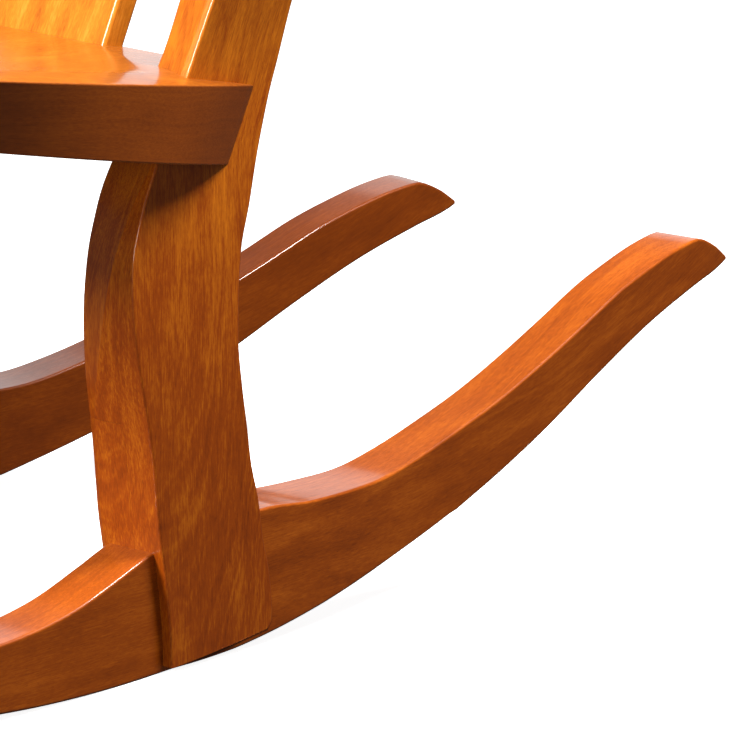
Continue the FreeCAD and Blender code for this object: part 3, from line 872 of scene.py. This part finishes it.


# %% The chair's cherry, plank by plank, with painted light on the legs and painted shade on the seat's edge
rocker_wood = varnished_cherry("varnished cherry, rockers", "#b85e12", "#944204", "#6c2a00")
dark_rocker_wood = varnished_cherry("varnished cherry, darker rocker plank", "#964808", "#763202", "#582200")
# The legs' tone lightens from 0.12 m to 0.5 m up the plank: painted light for the brighter back posts.
leg_wood = varnished_cherry("varnished cherry, legs with painted light up the posts", "#cc7010", "#964002", "#6a2700",
                            pith=(-290.0, 45.0, 25.0), taper=0.3, painted_light_span=(0.12, 0.50))
seat_wood = varnished_cherry("varnished cherry, seat faces", "#b86c18", "#964c08", "#723404")
# The seat's edge takes a darker copy of the seat's cherry: painted shade on faces that turn away from the
# overhead lights.
shaded_seat_edge_wood = varnished_cherry("varnished cherry, seat edge with painted shade", "#94490b", "#7c3805", "#5c2500", figure=0.7)
arm_wood = varnished_cherry("varnished cherry, arms", "#c97418", "#a85408", "#743202")
back_wood = varnished_cherry("varnished cherry, splat and crest", "#dc8c30", "#bb6d14", "#8a4406", figure=1.5)
print("cherry materials:", [m.name for m in bpy.data.materials if "cherry" in m.name])

# %% [markdown]
# ## Plugs, dowels and screws
# Wooden plugs hide the screws and are the only fasteners that show.  They keep their CAD shape and
# take a darker end of the same cherry; the dowels are maple and the screws zinc-plated steel.

# %% Small wood and steel
def turned_wood(name, light, dark, width_mm):
    """Plain close-grained wood for a small turned part, with grain along its X."""
    material, tree = new_material(name)
    place = add_node(tree, "ShaderNodeTexCoord").outputs["Object"]
    stretch = add_node(tree, "ShaderNodeVectorMath", {"operation": "MULTIPLY"}, {1: per_mm(12.0, width_mm)},
                       {0: place}).outputs[0]
    lines = add_node(tree, "ShaderNodeTexNoise", {}, {"Scale": 1.0, "Detail": 4.0},
                     {"Vector": stretch}).outputs["Fac"]
    tint = add_node(tree, "ShaderNodeValToRGB", {}, {}, {"Fac": lines})
    tint.color_ramp.elements[0].color = colour(dark)
    tint.color_ramp.elements[1].color = colour(light)
    rough = add_node(tree, "ShaderNodeMapRange", {}, {"To Min": 0.5, "To Max": 0.35},
                     {"Value": lines}).outputs["Result"]
    relief = add_node(tree, "ShaderNodeBump", {}, {"Strength": 0.2, "Distance": 0.05 * MM}, {"Height": lines})
    shader = add_node(tree, "ShaderNodeBsdfPrincipled", {},
                      {"IOR": 1.5, "Coat Weight": 0.4, "Coat Roughness": 0.12},
                      {"Base Color": tint.outputs["Color"], "Roughness": rough,
                       "Normal": relief.outputs["Normal"]})
    add_node(tree, "ShaderNodeOutputMaterial", {}, {}, {"Surface": shader.outputs["BSDF"]})
    return material


def zinc_plate(name):
    """Bright zinc plate over steel: crystals a fraction of a millimetre wide dull it unevenly."""
    material, tree = new_material(name)
    place = add_node(tree, "ShaderNodeTexCoord").outputs["Object"]
    crystals = add_node(tree, "ShaderNodeTexNoise", {}, {"Scale": 1 / (0.8 * MM), "Detail": 3.0},
                        {"Vector": place}).outputs["Fac"]
    tint = add_node(tree, "ShaderNodeValToRGB", {}, {}, {"Fac": crystals})
    tint.color_ramp.elements[0].color = colour("#9a9c9f")
    tint.color_ramp.elements[1].color = colour("#c9cbce")
    rough = add_node(tree, "ShaderNodeMapRange", {}, {"To Min": 0.25, "To Max": 0.4},
                     {"Value": crystals}).outputs["Result"]
    relief = add_node(tree, "ShaderNodeBump", {}, {"Strength": 0.1, "Distance": 0.02 * MM},
                      {"Height": crystals})
    shader = add_node(tree, "ShaderNodeBsdfPrincipled", {}, {"Metallic": 1.0},
                      {"Base Color": tint.outputs["Color"], "Roughness": rough,
                       "Normal": relief.outputs["Normal"]})
    add_node(tree, "ShaderNodeOutputMaterial", {}, {}, {"Surface": shader.outputs["BSDF"]})
    return material


plug_wood = turned_wood("varnished cherry, face-grain plugs", "#9c4f14", "#6b2f0b", 1.2)
dowel_wood = turned_wood("plain turned maple", "#d9b98a", "#b78f5c", 1.0)
screw_steel = zinc_plate("zinc-plated steel")

# %% [markdown]
# ## Putting it together
# Each new piece rides on the chair's one body, takes its wood and hides the CAD node it stands
# for.  The fasteners stay as they are and only get their materials.

# %% Dress and attach
def finish_piece(piece, material, node_name):
    """Give a piece its wood, tie it to the chair's body and let it stand for its CAD node."""
    piece.data.materials.clear()
    piece.data.materials.append(material)
    weighted = piece.modifiers.new("flat faces stay flat", "WEIGHTED_NORMAL")
    weighted.keep_sharp = True
    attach(piece, "root")
    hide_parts(node_name)


for name, side in SIDES:
    plank = rocker_wood if side > 0 else dark_rocker_wood
    finish_piece(rockers[name], plank, "rocker_" + name)
    finish_piece(legs[name], leg_wood, "rear_leg_" + name)
    finish_piece(foot_blocks[name], leg_wood, "foot_block_" + name)
    finish_piece(front_legs[name], leg_wood, "front_leg_" + name)
    finish_piece(arms[name], arm_wood, "arm_" + name)
for i, board in enumerate(boards):
    finish_piece(board, seat_wood, "seat_board_%d" % (i + 1))
    board.data.materials.append(shaded_seat_edge_wood)
    # Faces steeper than 60 degrees get the darker copy, painted shade on the seat's edge.
    for face in board.data.polygons:
        is_edge = abs(face.normal.z) < 0.5
        face.material_index = 1 if is_edge else 0
finish_piece(splat, back_wood, "back_splat")
finish_piece(crest, back_wood, "crest_rail")

for node_name, node in nodes.items():
    if node.hide_render:
        continue
    if "plugs" in node_name:
        material = plug_wood
    elif "screws" in node_name:
        material = screw_steel
    else:
        material = dowel_wood
    node.data.materials.clear()
    node.data.materials.append(material)

# %% [markdown]
# ## Floor and light
# A plain white floor runs out of the picture.  It glows a little by itself and is left out of the
# wood's reflections, so that it stays an even white without lighting the chair from below.

# %% Floor
def white_floor():
    material, tree = new_material("matt white studio floor")
    place = add_node(tree, "ShaderNodeTexCoord").outputs["Object"]
    mottle = add_node(tree, "ShaderNodeTexNoise", {}, {"Scale": 1 / (30 * MM), "Detail": 2.0},
                      {"Vector": place}).outputs["Fac"]
    tint = add_node(tree, "ShaderNodeValToRGB", {}, {}, {"Fac": mottle})
    tint.color_ramp.elements[0].color = colour("#f2f2f0")
    tint.color_ramp.elements[1].color = colour("#f6f6f5")
    shader = add_node(tree, "ShaderNodeBsdfPrincipled", {},
                      {"Roughness": 0.9, "Emission Strength": 0.92, "Emission Color": colour("#ffffff")},
                      {"Base Color": tint.outputs["Color"]})
    add_node(tree, "ShaderNodeOutputMaterial", {}, {}, {"Surface": shader.outputs["BSDF"]})
    return material


FLOOR_HALF = 9.0           # metres
corners = [(x * FLOOR_HALF, y * FLOOR_HALF, 0.0) for x, y in ((-1, -1), (1, -1), (1, 1), (-1, 1))]
floor_mesh = bpy.data.meshes.new("studio_floor")
floor_mesh.from_pydata(corners, [], [(0, 1, 2, 3)])
floor = bpy.data.objects.new("studio_floor", floor_mesh)
bpy.context.scene.collection.objects.link(floor)
floor.data.materials.append(white_floor())
floor.visible_diffuse = False
floor.visible_glossy = False


# %% Soft lights
def soft_box(name, place, aim, size, watts):
    lamp = bpy.data.lights.new(name, "AREA")
    lamp.shape = "RECTANGLE"
    lamp.size, lamp.size_y = size
    lamp.energy = watts
    box = bpy.data.objects.new(name, lamp)
    bpy.context.scene.collection.objects.link(box)
    box.location = place
    box.rotation_euler = (Vector(aim) - Vector(place)).to_track_quat("-Z", "Y").to_euler()
    box.visible_camera = False
    return box


soft_box("key, high on the right", (0.62, 0.26, 1.66), (0.23, 0.02, 0.3), (0.4, 0.6), 74)
soft_box("low light near the seat's front", (0.75, -1.0, 0.5), (0.29, -0.3, 0.36), (0.3, 0.3), 4)
soft_box("front light", (-0.20, -2.20, 1.52), (0.2, -0.05, 0.15), (0.7, 0.7), 115)
soft_box("backdrop glow", (-2.6, 2.4, 0.9), (0.0, 0.0, 0.4), (4.0, 1.6), 20)

world = bpy.data.worlds.new("dim grey room")
bpy.context.scene.world = world
world.use_nodes = True
background = world.node_tree.nodes["Background"]
background.inputs["Color"].default_value = colour("#ffffff")
background.inputs["Strength"].default_value = 0.06
bpy.context.scene.view_settings.view_transform = "Standard"

# %% [markdown]
# ## The camera
# A long lens stands to the sitter's left and slightly above the seat, so lines stay nearly parallel.

# %% Camera
AZIMUTH, ELEVATION, ROLL = radians(48.696), radians(13.2876), radians(-0.4538)
CAMERA_PLACE = (2.6007, -1.9440, 0.90883)
forward = Vector((-sin(AZIMUTH) * cos(ELEVATION), cos(AZIMUTH) * cos(ELEVATION), -sin(ELEVATION)))
level = Vector((cos(AZIMUTH), sin(AZIMUTH), 0.0))
upright = level.cross(forward)
across = level * cos(ROLL) + upright * sin(ROLL)
upwards = upright * cos(ROLL) - level * sin(ROLL)
lens = bpy.data.cameras.new("long lens")
lens.lens = 239.3
lens.sensor_width = 36.0
lens.clip_end = 100.0
camera = bpy.data.objects.new("camera", lens)
bpy.context.scene.collection.objects.link(camera)
turn = Matrix((across, upwards, -forward)).transposed().to_4x4()
camera.matrix_world = Matrix.Translation(CAMERA_PLACE) @ turn
bpy.context.scene.camera = camera
